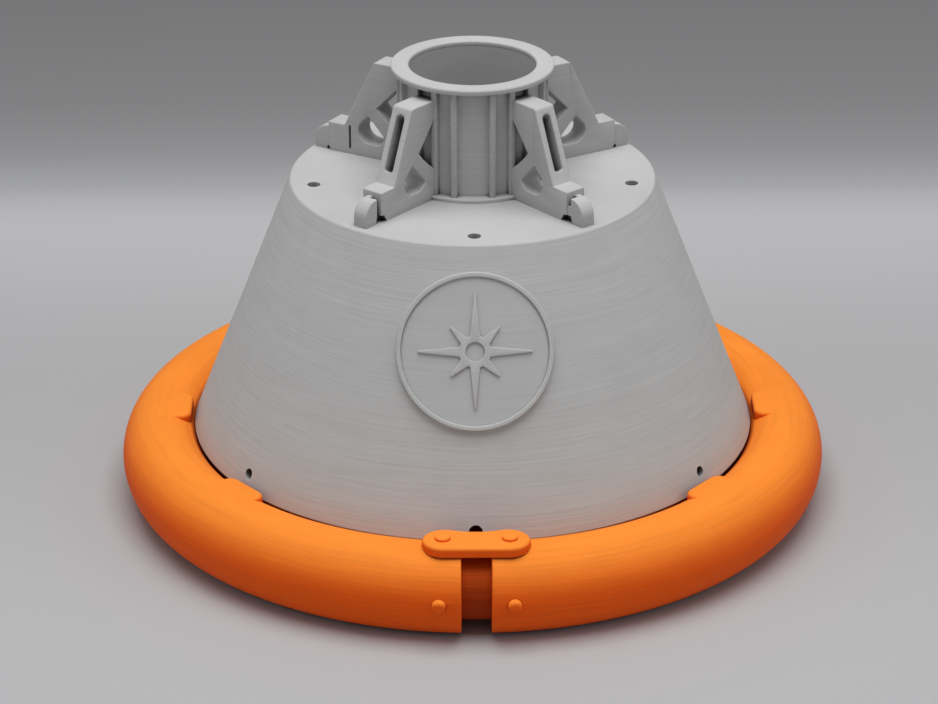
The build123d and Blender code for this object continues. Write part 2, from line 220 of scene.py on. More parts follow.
# %% Height and layers
# A noise node's in_2 is its scale and in_3 its detail. WANDER is in mm
WANDER = 1.8
place = node(layers, "ShaderNodeTexCoord")
split = node(layers, "ShaderNodeSeparateXYZ")
wander = node(layers, "ShaderNodeTexNoise", in_2=30.0, in_3=2.0)
shift = node(layers, "ShaderNodeMath", operation="MULTIPLY", in_1=WANDER * MM)
height = node(layers, "ShaderNodeMath", operation="ADD")
count = node(layers, "ShaderNodeMath", operation="DIVIDE")
turns = node(layers, "ShaderNodeMath", operation="MULTIPLY", in_1=2 * math.pi)
wave = node(layers, "ShaderNodeMath", operation="SINE")
link(layers,
     (place.outputs["Object"], split.inputs[0]), (place.outputs["Object"], wander.inputs[0]),
     (wander.outputs[0], shift.inputs[0]), (split.outputs[2], height.inputs[0]),
     (shift.outputs[0], height.inputs[1]), (height.outputs[0], count.inputs[0]),
     (given.outputs["Layer"], count.inputs[1]), (count.outputs[0], turns.inputs[0]),
     (turns.outputs[0], wave.inputs[0]))
print("layers:", len(layers.nodes), "nodes")

# %% [markdown]
# ### Streaks
#
# The streaks are noise that is stretched along the layers, once fine and once broad. The stretch is
# done by the scale, which is far greater upwards than sideways.

# %% Streaks
FINE, BROAD = (40, 40, 2300), (13, 13, 420)
stretched = node(layers, "ShaderNodeCombineXYZ")
fine = node(layers, "ShaderNodeVectorMath", operation="MULTIPLY", in_1=FINE)
broad = node(layers, "ShaderNodeVectorMath", operation="MULTIPLY", in_1=BROAD)
fine_noise = node(layers, "ShaderNodeTexNoise", in_2=1.0, in_3=2.0)
broad_noise = node(layers, "ShaderNodeTexNoise", in_2=1.0, in_3=1.0)
fine_share = node(layers, "ShaderNodeMath", operation="MULTIPLY", in_1=1.5)
streaks = node(layers, "ShaderNodeMath", operation="MULTIPLY_ADD", in_1=0.5)
link(layers,
     (split.outputs[0], stretched.inputs[0]), (split.outputs[1], stretched.inputs[1]),
     (height.outputs[0], stretched.inputs[2]), (stretched.outputs[0], fine.inputs[0]),
     (stretched.outputs[0], broad.inputs[0]), (fine.outputs[0], fine_noise.inputs[0]),
     (broad.outputs[0], broad_noise.inputs[0]), (fine_noise.outputs[0], fine_share.inputs[0]),
     (broad_noise.outputs[0], streaks.inputs[0]), (fine_share.outputs[0], streaks.inputs[2]))
print("with streaks:", len(layers.nodes), "nodes")

# %% [markdown]
# ### Level faces
#
# The last layer is laid in strokes at 45 degrees, side by side. They are drawn by a sine wave along
# x + y, and a mottling noise breaks their evenness.

# %% Strokes on level faces
STROKE = 0.6
diagonal = node(layers, "ShaderNodeMath", operation="ADD")
stroke_turns = node(layers, "ShaderNodeMath", operation="MULTIPLY", in_1=2 * math.pi / (STROKE * MM))
strokes = node(layers, "ShaderNodeMath", operation="SINE")
mottle = node(layers, "ShaderNodeTexNoise", in_2=160.0, in_3=2.0)
level_height = node(layers, "ShaderNodeMath", operation="MULTIPLY_ADD", in_1=0.25)
link(layers,
     (split.outputs[0], diagonal.inputs[0]), (split.outputs[1], diagonal.inputs[1]),
     (diagonal.outputs[0], stroke_turns.inputs[0]), (stroke_turns.outputs[0], strokes.inputs[0]),
     (place.outputs["Object"], mottle.inputs[0]),
     (strokes.outputs[0], level_height.inputs[0]), (mottle.outputs[0], level_height.inputs[2]))
print("with strokes:", len(layers.nodes), "nodes")

# %% [markdown]
# ### Walls or level faces
#
# The upward share of the normal tells a wall from a level face. Walls get the layers with their
# streaks, level faces the strokes, and the change between them is soft. The wave has a small share
# only: from far away, strong even lines would beat against the pixels.

# %% Height for the bump
WAVE_SHARE = 0.12
normal = node(layers, "ShaderNodeNewGeometry")
upright = node(layers, "ShaderNodeSeparateXYZ")
steep = node(layers, "ShaderNodeMath", operation="ABSOLUTE")
is_level = node(layers, "ShaderNodeMapRange", in_1=0.93, in_2=0.99)
wall_height = node(layers, "ShaderNodeMath", operation="MULTIPLY_ADD", in_1=WAVE_SHARE)
mixed_height = node(layers, "ShaderNodeMix", data_type="FLOAT")
link(layers,
     (normal.outputs["True Normal"], upright.inputs[0]), (upright.outputs[2], steep.inputs[0]),
     (steep.outputs[0], is_level.inputs[0]), (wave.outputs[0], wall_height.inputs[0]),
     (streaks.outputs[0], wall_height.inputs[2]), (is_level.outputs[0], mixed_height.inputs[0]),
     (wall_height.outputs[0], mixed_height.inputs[2]),
     (level_height.outputs[0], mixed_height.inputs[3]),
     (mixed_height.outputs[0], result.inputs["Height"]))
print("with the bump's height:", len(layers.nodes), "nodes")

# %% [markdown]
# ### Colour and roughness
#
# Faces that look up get the full colour and walls a darker one: this is painted shade. So the
# colour goes from the wall's to the full one with the normal. The streaks lighten and darken it a
# little, the mottling does so everywhere, and a light streak is slightly glossier.

# %% Colour and roughness
tone = node(layers, "ShaderNodeMapRange", in_1=0.6, in_2=1.4, in_3=-1.0, in_4=1.0)
tone_share = node(layers, "ShaderNodeMath", operation="MULTIPLY")
mottle_share = node(layers, "ShaderNodeMapRange", in_1=0.3, in_2=0.7, in_3=0.985, in_4=1.015)
brightness = node(layers, "ShaderNodeMath", operation="ADD")
# Painted shade: walls take the darker wall colour, faces that look up the full one
painted_light_share = node(layers, "ShaderNodeMapRange", in_1=0.0, interpolation_type="SMOOTHSTEP")
wall_shade_mix = node(layers, "ShaderNodeMix", data_type="RGBA")
tinted = node(layers, "ShaderNodeVectorMath", operation="SCALE")
gloss = node(layers, "ShaderNodeMath", operation="MULTIPLY_ADD", in_1=-0.5)
link(layers,
     (streaks.outputs[0], tone.inputs[0]), (tone.outputs[0], tone_share.inputs[0]),
     (given.outputs["Streaks"], tone_share.inputs[1]), (mottle.outputs[0], mottle_share.inputs[0]),
     (tone_share.outputs[0], brightness.inputs[0]), (mottle_share.outputs[0], brightness.inputs[1]),
     (upright.outputs[2], painted_light_share.inputs[0]), (given.outputs["Full From"], painted_light_share.inputs[2]),
     (painted_light_share.outputs[0], wall_shade_mix.inputs[0]),
     (given.outputs["Wall Color"], wall_shade_mix.inputs[6]), (given.outputs["Color"], wall_shade_mix.inputs[7]),
     (wall_shade_mix.outputs[2], tinted.inputs[0]), (brightness.outputs[0], tinted.inputs["Scale"]),
     (tinted.outputs[0], result.inputs["Color"]), (tone_share.outputs[0], gloss.inputs[0]),
     (given.outputs["Roughness"], gloss.inputs[2]), (gloss.outputs[0], result.inputs["Roughness"]))
print("printed layers:", len(layers.nodes), "nodes")

# %% [markdown]
# ## The finishes
#
# All the greys are one plastic and both oranges are another. The neck's orange is darkened as
# painted shade, because the neck lies in the shade. The finishes differ in how strongly their layers
# show: clearly on the large walls of the cone and the collar, hardly on the small pieces. Slots,
# holes and narrow gaps get painted shade: an Ambient Occlusion node measures how open a place is,
# the colour goes to a darker one where it is closed in, and the shader stays in the material.

# %% A material for printed plastic
def printed(name, plastic, painted_shade, closed, alone, lines):
    """Matt printed plastic: group colour, roughness, bump and painted shade in hollows, on one
    shader.
    """
    color, painted_wall_shade, full_from = plastic
    reach, closed_at, open_at = closed
    layer, streaks, depth = lines
    material = bpy.data.materials.new(name)
    material.use_nodes = True
    tree = material.node_tree
    shader = tree.nodes["Principled BSDF"]
    shader.inputs["Specular IOR Level"].default_value = 0.1
    group = node(tree, "ShaderNodeGroup", node_tree=layers)
    for word, value in [
        ("Color", (*color, 1)), ("Wall Color", (*painted_wall_shade, 1)), ("Full From", full_from),
        ("Layer", layer * MM), ("Streaks", streaks), ("Roughness", 0.65),
    ]:
        group.inputs[word].default_value = value
    bump = node(tree, "ShaderNodeBump")
    bump.inputs["Strength"].default_value = 1.0
    bump.inputs["Distance"].default_value = depth * MM
    # Painted shade: where the Ambient Occlusion node finds a place closed in, the colour darkens
    enclosed = node(tree, "ShaderNodeAmbientOcclusion", samples=12, only_local=alone)
    enclosed.inputs["Distance"].default_value = reach * MM
    open_share = node(tree, "ShaderNodeMapRange", in_1=closed_at, in_2=open_at)
    painted_shade_mix = node(tree, "ShaderNodeMix", data_type="RGBA")
    painted_shade_mix.inputs[6].default_value = (*painted_shade, 1)
    link(tree,
         (enclosed.outputs["AO"], open_share.inputs[0]), (open_share.outputs[0], painted_shade_mix.inputs[0]),
         (group.outputs["Color"], painted_shade_mix.inputs[7]), (painted_shade_mix.outputs[2], shader.inputs["Base Color"]),
         (group.outputs["Roughness"], shader.inputs["Roughness"]),
         (group.outputs["Height"], bump.inputs["Height"]), (bump.outputs[0], shader.inputs["Normal"]))
    print("finish", name, "with layers of", layer, "mm")
    return material


# %% The finishes, each on its own slot
# Full colour, painted shade of walls, and the upward share of the normal from which the first is full
GREY = ((0.53, 0.53, 0.525), (0.45, 0.45, 0.445), 0.5)
ORANGE = ((1.0, 0.285, 0.033), (0.88, 0.11, 0.006), 1.0)
# The neck's orange is darkened as painted shade, because the neck lies in the shade of the mouth
SHADED_NECK = ((0.5, 0.07, 0.005), (0.33, 0.035, 0.001), 1.0)
# Painted shade colours; on the grey shield the maroon one also paints orange light bounced off the
# collar
HOLE_SHADE, GROOVE_SHADE, MAROON_SHADE = (0.04, 0.03, 0.025), (0.055, 0.055, 0.052), (0.3, 0.03, 0.006)
# How far the painted shade looks in mm, and the openness at which it is full and at which it is none
DRILLED, SLOT, WIDE, NARROW = (5, 0.3, 0.8), (5, 0.14, 0.48), (6, 0.2, 0.6), (2.5, 0.2, 0.6)
# The last three numbers: layer in mm, strength of the streaks, depth of the bump in mm
finishes = {
    "shell_grey": printed("shell_grey", GREY, HOLE_SHADE, DRILLED, True, (0.25, 0.06, 0.03)),
    "deck_grey": printed("deck_grey", GREY, GROOVE_SHADE, SLOT, False, (0.25, 0.05, 0.02)),
    "shield_grey": printed("shield_grey", GREY, MAROON_SHADE, WIDE, False, (0.25, 0.05, 0.03)),
    "emblem_grey": printed("emblem_grey", GREY, GROOVE_SHADE, NARROW, False, (0.25, 0.04, 0.02)),
    "collar_orange": printed("collar_orange", ORANGE, MAROON_SHADE, NARROW, False, (0.4, 0.07, 0.04)),
    "neck_orange": printed("neck_orange", SHADED_NECK, MAROON_SHADE, NARROW, False, (0.45, 0.15, 0.06)),
}
for row in frame["record"]["subparts"]:
    slots = frame["nodes"][row["node"]].data.materials
    slots.clear()
    slots.append(finishes[row["material_slot"]])
print("finishes:", ", ".join(finishes))

# %% [markdown]
# ## The floor
#
# The model stands on a plain pale table in front of a darker backdrop. They could be two planes,
# but one does for both: its colour falls from the table's to the backdrop's behind the model, as
# softly as the out-of-focus edge of the table does.

# %% Floor
# Where the shades start and end, in metres behind the middle, and their places in between
NEAR, FAR = -0.1, 0.4
# The dip at 0.3 is painted shade near the model, the rise at 0.53 painted light behind it
FLOOR_SHADES_WITH_PAINTED_LIGHT = [(0, 0.47), (0.15, 0.45), (0.3, 0.415), (0.42, 0.44), (0.53, 0.51), (0.57, 0.47),
          (0.6, 0.385), (0.656, 0.275), (0.752, 0.215), (1, 0.18)]
bpy.ops.object.select_all(action="DESELECT")
bpy.ops.mesh.primitive_plane_add(size=6)
floor = bpy.context.object
floor.name = "floor"
paper = bpy.data.materials.new("floor")
paper.use_nodes = True
surface = paper.node_tree.nodes["Principled BSDF"]
surface.inputs["Roughness"].default_value = 0.8
where = node(paper.node_tree, "ShaderNodeTexCoord")
parts = node(paper.node_tree, "ShaderNodeSeparateXYZ")
behind = node(paper.node_tree, "ShaderNodeMapRange", in_1=NEAR, in_2=FAR)
fade = node(paper.node_tree, "ShaderNodeValToRGB")
fade.color_ramp.elements.remove(fade.color_ramp.elements[0])
fade.color_ramp.elements[0].position = FLOOR_SHADES_WITH_PAINTED_LIGHT[0][0]
for stop, _ in FLOOR_SHADES_WITH_PAINTED_LIGHT[1:]:
    fade.color_ramp.elements.new(stop)
for element, (_, shade) in zip(fade.color_ramp.elements, FLOOR_SHADES_WITH_PAINTED_LIGHT):
    element.color = (shade, shade, shade * 1.02, 1)
fade.color_ramp.interpolation = "B_SPLINE"
link(paper.node_tree,
     (where.outputs["Object"], parts.inputs[0]), (parts.outputs[1], behind.inputs[0]),
     (behind.outputs[0], fade.inputs[0]), (fade.outputs[0], surface.inputs["Base Color"]))
floor.data.materials.append(paper)
print("floor with", len(FLOOR_SHADES_WITH_PAINTED_LIGHT), "shades")

# %% [markdown]
# ## Modelling by outline
#
# Most pieces on the deck are flat plates with rounded corners. They could be boxes with everything
# cut off them, but an outline shows better what is meant. A filled circle is added with one vertex
# for each point of the outline, every vertex is dragged to its point, and the face is extruded to
# the plate's thickness. The outline is drawn in the XZ plane: radius and height.

# %% Outlines with rounded corners
def rounded(corners, steps=5):
    """Points of a closed outline. Each corner is x, z and its rounding."""
    points = []
    for i, (x, z, r) in enumerate(corners):
        here = Vector((x, z))
        back = (Vector(corners[i - 1][:2]) - here).normalized()
        ahead = (Vector(corners[(i + 1) % len(corners)][:2]) - here).normalized()
        if r == 0:
            points.append(here)
            continue
        half_turn = back.angle(ahead) / 2
        centre = here + (back + ahead).normalized() * (r / math.sin(half_turn))
        start = here + back * (r / math.tan(half_turn)) - centre
        end = here + ahead * (r / math.tan(half_turn)) - centre
        for step in range(steps + 1):
            points.append(centre + start.slerp(end, step / steps) * r)
    return [tuple(point) for point in points]


print("a rounded square has", len(rounded([(0, 0, 1), (4, 0, 1), (4, 4, 1), (0, 4, 1)])), "points")


# %% Flat shapes and plates
def flat_shape(name, points, y=0.0):
    """A filled circle with a vertex for each point, dragged to the points, in the XZ plane at y."""
    bpy.ops.object.select_all(action="DESELECT")
    bpy.ops.mesh.primitive_circle_add(vertices=len(points), radius=MM, fill_type="NGON")
    shape = bpy.context.object
    shape.name = name
    for vertex, (x, z) in zip(shape.data.vertices, points):
        vertex.co = Vector((x, y, z)) * MM
    return shape


def plate(name, points, width, y=0.0):
    """The outline as a plate of this width, its middle at y."""
    made = flat_shape(name, points, y - width / 2)
    bpy.ops.object.mode_set(mode="EDIT")
    bpy.ops.mesh.select_all(action="SELECT")
    bpy.ops.mesh.extrude_region_move(TRANSFORM_OT_translate={"value": (0, width * MM, 0)})
    bpy.ops.mesh.select_all(action="SELECT")
    bpy.ops.mesh.normals_make_consistent(inside=False)
    bpy.ops.object.mode_set(mode="OBJECT")
    return made


print("outline helpers ready")


# %% Picking faces
def pick(test):
    """In edit mode, select the faces that pass a test of their middle and normal."""
    mesh = bmesh.from_edit_mesh(bpy.context.object.data)
    for face in mesh.faces:
        face.select_set(False)
    for face in mesh.faces:
        if test(face.calc_center_median() / MM, face.normal):
            face.select_set(True)
    mesh.select_flush_mode()
    bmesh.update_edit_mesh(bpy.context.object.data)


def bevel_rim(test, width, segments):
    """Round the rim of the faces that pass a test."""
    bpy.ops.object.mode_set(mode="EDIT")
    pick(test)
    bpy.ops.mesh.region_to_loop()
    bpy.ops.mesh.bevel(offset=width * MM, segments=segments, affect="EDGES", clamp_overlap=False)
    bpy.ops.object.mode_set(mode="OBJECT")


print("picking helpers ready")

# %% [markdown]
# ## Cutting, softening and handing over
#
# An opening is cut with a Boolean modifier and a second shape that is then deleted. Printed edges
# are never sharp, so they get a small bevel before the finest cuts are made. The last helper puts a
# finished piece to use: it gets its finish, rides on its CAD body and takes over from its node.

# %% Helpers for whole pieces
def only(piece):
    """Select this piece alone and make it active."""
    bpy.ops.object.select_all(action="DESELECT")
    piece.select_set(True)
    bpy.context.view_layer.objects.active = piece


def combine(piece, tool, operation="DIFFERENCE"):
    """Cut a tool out of a piece, or unite the two, and delete the tool."""
    only(piece)
    modifier = piece.modifiers.new("boolean", "BOOLEAN")
    modifier.operation = operation
    modifier.solver = "EXACT"
    modifier.object = tool
    bpy.ops.object.modifier_apply(modifier=modifier.name)
    bpy.data.objects.remove(tool)


def soften(piece, width, angle=40):
    """Bevel all the edges that turn by more than an angle."""
    only(piece)
    bpy.ops.object.mode_set(mode="EDIT")
    bpy.ops.mesh.select_all(action="SELECT")
    bpy.ops.mesh.remove_doubles(threshold=0.004 * MM)
    bpy.ops.mesh.select_mode(type="EDGE")
    bpy.ops.mesh.select_all(action="DESELECT")
    bpy.ops.mesh.edges_select_sharp(sharpness=math.radians(angle))
    bpy.ops.mesh.bevel(offset=width * MM, segments=3, affect="EDGES", clamp_overlap=False)
    bpy.ops.mesh.select_mode(type="FACE")
    bpy.ops.object.mode_set(mode="OBJECT")


def fix_place(piece):
    """Put a piece's place, turn and scale into its mesh."""
    only(piece)
    bpy.ops.object.transform_apply(location=True, rotation=True, scale=True)


def settle(piece, azimuth=90, z=0.0, x=0.0, y=0.0):
    """Turn a piece that points along +X to an azimuth and move it."""
    piece.rotation_euler = (0, 0, math.radians(azimuth - 90))
    piece.location = (x * MM, y * MM, z * MM)
    fix_place(piece)


def copy_of(piece, name):
    """A copy of a piece with a mesh of its own."""
    copied = piece.copy()
    copied.data = piece.data.copy()
    copied.name = name
    bpy.context.scene.collection.objects.link(copied)
    return copied


def hand_over(piece, body, slot, *nodes, angle=35):
    """Finish a piece and let it stand for its CAD nodes."""
    only(piece)
    bpy.ops.object.shade_smooth_by_angle(angle=math.radians(angle))
    piece.data.materials.clear()
    piece.data.materials.append(finishes[slot])
    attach(piece, body)
    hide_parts(*nodes)
    piece.data.calc_loop_triangles()
    print(piece.name, len(piece.data.loop_triangles), "triangles")


print("helpers for whole pieces ready")

# %% [markdown]
# ## The gussets
#
# Each gusset is a six millimetre plate between the tunnel and the deck, with a sloping arm and a
# ledge. It has a large window against the tunnel, a small eye low down, and a slot in the outer
# face of the arm, which is deepest at its head. One gusset copied four times would be quicker, but
# the four aren't quite alike: the back pair reaches further out, and the back left one has a groove
# in its flank. So a function draws each of them. The plate starts inside the tunnel's wall and just
# below the deck's face, so that no gap shows where it stands.

# %% Openings of a gusset
GUSSET_W, BORE_R = 5.8, 15.4
SINK = 0.5
HEAD_R, HEAD_Z, LEDGE_Z = 26.2, 25.2, 7.5
SLOT_DEPTH, SLOT_LEAN = 3.2, math.radians(9)


def window(foot):
    """The opening against the tunnel. Its lower edge sags on the way to its tip."""
    low, high, tip_r, tip_z = 6.4, 23.6, foot - 9.3, 13.2
    sag = [(BORE_R + (tip_r - BORE_R) * t, low + (tip_z - low) * t - 3.2 * t * (1 - t))
           for t in (0.25, 0.5, 0.75)]
    return plate("window", [(BORE_R, high), (BORE_R, low), *sag, (tip_r, tip_z)], 2 * GUSSET_W)


def eye(foot, bend):
    """The small opening low down, with two corners of this rounding."""
    corners = [(foot - 6.9, 10.9, 0.5), (foot - 3.4, 7.2, bend), (foot - 5.2, 3.6, bend),
               (foot - 10.0, 3.6, 1.6), (foot - 11.8, 5.5, 0.9)]
    return plate("eye", rounded(corners), 2 * GUSSET_W)


def arm_slot(foot):
    """The slot, drawn flat along X and then leant against the arm's outer face."""
    run = Vector((HEAD_R - foot, HEAD_Z - LEDGE_Z))
    start, end, half_w = 3.2, run.length - 2.1, 1.2
    corners = [(start, -half_w, 0.6), (end, -half_w, 1.15), (end, half_w, 1.15), (start, half_w, 0.6)]
    slot = plate("slot", rounded(corners), 2 * SLOT_DEPTH)
    slot.rotation_euler = (math.pi / 2, -math.atan2(run.y, run.x) - SLOT_LEAN, 0)
    slot.location = (foot * MM, 0, LEDGE_Z * MM)
    return slot


print("slot", SLOT_DEPTH, "mm deep at its foot")

# %% Gusset
LEDGE_END, FOOT_R = 37.7, 33.0
NICK = ((-2.4, 0), (-0.9, 1.5), (1.3, 1.5), (1.9, 0))


def nick(side, end_r, size):
    """What is cut away beside the foot of the slit between gusset and toe."""
    points = [(end_r + x * size, 0.3 + z * size if z else -2 * SINK) for x, z in NICK]
    return plate("nick", points, 4.0, side * GUSSET_W / 2)


def gusset(name, side, reach, nick_size, has_groove):
    """One gusset along +X, on z=0; side is the side of the plate that faces the front."""
    end, foot, start = LEDGE_END + reach, FOOT_R + reach, BORE_R + 0.7
    made = plate(name, rounded([
        (start, -SINK, 0), (end, -SINK, 0), (end, LEDGE_Z, 0), (foot, LEDGE_Z, 0),
        (HEAD_R, HEAD_Z, 1.0), (start, HEAD_Z, 0)]), GUSSET_W)
    combine(made, window(foot))
    combine(made, eye(foot, bend=3.0 if reach else 2.2))
    combine(made, arm_slot(foot))
    soften(made, 0.3)
    combine(made, nick(side, end, nick_size))
    if has_groove:
        near, far, low = foot - 1.9, foot - 1.3, 1.5
        groove = [(near, low), (far, low), (far, LEDGE_Z), (near, LEDGE_Z)]
        combine(made, plate("groove", groove, 2.0, side * GUSSET_W / 2))
    return made


print("arm from radius", FOOT_R, "up to", HEAD_R, "mm")

# %% [markdown]
# ## The toes
#
# In front of each gusset lies a narrow block with a quarter-round nose. It could be part of the
# plate, but it is set back a little from the side of the plate that faces the front, so it is a
# plate of its own. A slit parts the two there. On the front left it is open over its whole height,
# on the front right only halfway, and the back pair has none.

# %% Toe
TOE_TOP, TOE_W, TOE_BACK, TOE_ROUND = 6.2, 3.8, 0.4, 4.0


def toe(name, side, reach, inset, slit_low, nick_size):
    """The block in front of one gusset, with the slit beside it open above slit_low."""
    start, end = LEDGE_END + reach, DECK_R - inset
    middle = side * (GUSSET_W / 2 - TOE_BACK - TOE_W / 2)
    outline = rounded([(start - SINK, -SINK, 0), (end, -SINK, 0), (end, TOE_TOP, TOE_ROUND),
                       (start - SINK, TOE_TOP, 0)], 10)
    made = plate(name, outline, TOE_W, middle)
    soften(made, 0.25)
    if slit_low < TOE_TOP:
        near, far, high = start - 1.2, start + 1.2, 8
        slit = [(near, slit_low), (far, slit_low), (far, high), (near, high)]
        combine(made, plate("slit", slit, 4.4, side * (GUSSET_W / 2 - TOE_BACK)))
    combine(made, nick(side, start, nick_size))
    return made


print("toe", TOE_W, "mm wide")

# %% All gussets and toes
FRONT, BACK = 39.6, 120.3
for word, azimuth, reach, inset, slit_low, nick_size, has_groove in [
    ("front_right", FRONT, 0, 1.6, 4.0, 1, False),
    ("front_left", -FRONT, 0, 1.6, 0, 1, False),
    ("back_right", BACK, 1.9, 0.8, TOE_TOP, 0.4, False),
    ("back_left", -BACK, 1.9, 0.8, TOE_TOP, 0.4, True),
]:
    side = -1 if azimuth > 0 else 1
    arm = gusset("soft_gusset_" + word, side, reach, nick_size, has_groove)
    block = toe("soft_toe_" + word, side, reach, inset, slit_low, nick_size)
    settle(arm, azimuth, DECK_Z)
    settle(block, azimuth, DECK_Z)
    hand_over(arm, "capsule", "deck_grey", "gusset_" + word)
    hand_over(block, "capsule", "deck_grey", "toe_" + word)

# %% [markdown]
# ## Round pieces
#
# A cylinder or a torus would do for the plainest round pieces, but most of them have a section of
# their own. So a flat outline is spun about the upright axis. The spin leaves a seam of double
# vertices, so these are merged and the normals are recalculated. With a full turn the outline's own
# face would stay inside as a wall, so it is deleted first.

# %% Spinning helper
def spun(name, points, steps, angle=360.0):
    """The outline in the XZ plane, spun about Z from azimuth 90 towards the back."""
    made = flat_shape(name, points)
    bpy.ops.object.mode_set(mode="EDIT")
    bpy.ops.mesh.select_all(action="SELECT")
    if angle == 360:
        bpy.ops.mesh.delete(type="ONLY_FACE")
        bpy.ops.mesh.select_all(action="SELECT")
    bpy.ops.mesh.spin(steps=steps, angle=-math.radians(angle), center=(0, 0, 0), axis=(0, 0, 1))
    bpy.ops.mesh.select_all(action="SELECT")
    bpy.ops.mesh.remove_doubles(threshold=0.001 * MM)
    bpy.ops.mesh.delete_loose()
    bpy.ops.mesh.select_all(action="SELECT")
    bpy.ops.mesh.normals_make_consistent(inside=False)
    bpy.ops.object.mode_set(mode="OBJECT")
    return made


def drill(radius, length, place, direction):
    """A round cutting tool that starts at a place and runs in a direction."""
    bpy.ops.object.select_all(action="DESELECT")
    along = Vector(direction).normalized()
    bpy.ops.mesh.primitive_cylinder_add(
        vertices=48, radius=radius * MM, depth=length * MM,
        location=(Vector(place) + along * length / 2) * MM,
        rotation=along.to_track_quat("Z", "Y").to_euler())
    return bpy.context.object


def towards(azimuth):
    """The level direction of an azimuth."""
    turn = math.radians(azimuth)
    return Vector((math.sin(turn), -math.cos(turn), 0))


print("the right is", [round(c, 3) for c in towards(90)])

# %% [markdown]
# ## Tunnel
#
# The tunnel is a thin tube with upright ribs. An array of ribs would put them at equal angles, and
# here they are not: one stands close to each side of every gusset. So one rib is modelled with soft
# outer edges, copied to each place, and the copies are joined and united with the tube.

# %% Tunnel wall and its ribs
TUNNEL_R, WALL_TOP = 16.9, 28.0
RIB_IN, RIB_OUT, RIB_W = TUNNEL_R - 0.6, TUNNEL_R + 1.5, 1.5
BESIDE = 8.5
tube = spun("soft_tunnel_wall", [
    (BORE_R, -SINK), (TUNNEL_R, -SINK), (TUNNEL_R, WALL_TOP), (BORE_R, WALL_TOP)], 192)
rib = plate("rib", [
    (RIB_IN, -SINK), (RIB_OUT, -SINK), (RIB_OUT, WALL_TOP), (RIB_IN, WALL_TOP)], RIB_W)
soften(rib, 0.3)
azimuths = [15, 71, 90, 148, 165, FRONT - BESIDE, FRONT + BESIDE, BACK - BESIDE, BACK + BESIDE]
ribs = []
for azimuth in azimuths:
    for turn in (azimuth, -azimuth):
        ribs.append(copy_of(rib, "rib"))
        settle(ribs[-1], turn)
bpy.data.objects.remove(rib)
print("ribs:", len(ribs))
only(ribs[0])
for copied in ribs[1:]:
    copied.select_set(True)
bpy.ops.object.join()
combine(tube, ribs[0], "UNION")
settle(tube, 90, DECK_Z)
hand_over(tube, "capsule", "deck_grey", "tunnel_wall")

# %% [markdown]
# ## The tunnel's rings
#
# A flat ring closes the tunnel's wall at the top and a thinner one stands around its foot. Each
# could be a tube with a bevel, but spun from a rounded section it has its soft rim in one go.

# %% Rings at the top and the foot of the tunnel
TOP_RING = [(BORE_R, 27.6, 0.2), (19.8, 27.6, 0.3), (19.8, 29, 0.5), (BORE_R, 29, 0.5)]
FOOT_RING = [(TUNNEL_R - 0.5, -SINK, 0), (19.2, -SINK, 0), (19.2, 1, 0.4), (TUNNEL_R - 0.5, 1, 0)]
for name, corners, replaced in [
    ("soft_top_ring", TOP_RING, "tunnel_top_ring"),
    ("soft_foot_ring", FOOT_RING, "tunnel_base_ring"),
]:
    ring = spun(name, rounded(corners), 192)
    settle(ring, 90, DECK_Z)
    hand_over(ring, "capsule", "deck_grey", replaced)

# %% [markdown]
# ## Deck plate
#
# The deck is a disc that is pressed into the cone's rim, so closely that no joint shows. It could be
# spun like the rings, but its section is a plain rectangle, so it starts as a cylinder. Four screw
# holes are then drilled through it.

# %% Deck plate
RIM_W, DECK_T = 1.4, 2.6
HOLE_R, HOLE_INSET = 1.6, 5.5
bpy.ops.object.select_all(action="DESELECT")
bpy.ops.mesh.primitive_cylinder_add(
    vertices=192, radius=(DECK_R - RIM_W) * MM, depth=DECK_T * MM,
    location=(0, 0, (DECK_Z - DECK_T / 2) * MM))
deck = bpy.context.object
deck.name = "smooth_deck"
fix_place(deck)
for azimuth in (0, 81, 180, -81):
    below = towards(azimuth) * (DECK_R - HOLE_INSET) + Vector((0, 0, DECK_Z - 2 * DECK_T))
    combine(deck, drill(HOLE_R, 4 * DECK_T, below, (0, 0, 1)))
hand_over(deck, "capsule", "deck_grey", "deck_plate")

# %% [markdown]
# ## Cone
#
# The cone is one wall with a seat for the deck. Cutting a small cone out of a large one would leave
# the edges to be done, so it is spun from its section, with both edges already rounded. An extra
# row of points low down keeps its faces from getting too long. Seven small holes go through it
# around the foot.

# %% Cone
WALL_T, ROW_Z = 2.8, 6.5
DRILL_FROM_R, DRILL_L = 62, 12
# Screw holes around the foot of the cone: azimuth, radius, height above the cone's edge
SCREWS = [(0, 1.7, 2.2)]
for azimuth in (52.7, 105, 156):
    SCREWS += [(azimuth, 1.25, 4.1), (-azimuth, 1.25, 4.1)]


def cone_r(z):
    """Outer radius of the cone at a height above its lower edge."""
    return BASE_R - z * SLOPE


seat = CONE_H - DECK_T
cone = spun("smooth_cone", rounded([
    (BASE_R, 0, 0.4), (cone_r(ROW_Z), ROW_Z, 0), (DECK_R, CONE_H, 0.8), (DECK_R - RIM_W, CONE_H, 0),
    (DECK_R - RIM_W, seat, 0), (cone_r(seat) - WALL_T, seat, 0), (cone_r(ROW_Z) - WALL_T, ROW_Z, 0),
    (BASE_R - WALL_T, 0, 0)]), 288)
for azimuth, radius, up in SCREWS:
    start = towards(azimuth) * DRILL_FROM_R + Vector((0, 0, up))
    combine(cone, drill(radius, DRILL_L, start, towards(azimuth)))
settle(cone, 90, BASE_Z)
hand_over(cone, "capsule", "shell_grey", "cone_shell")

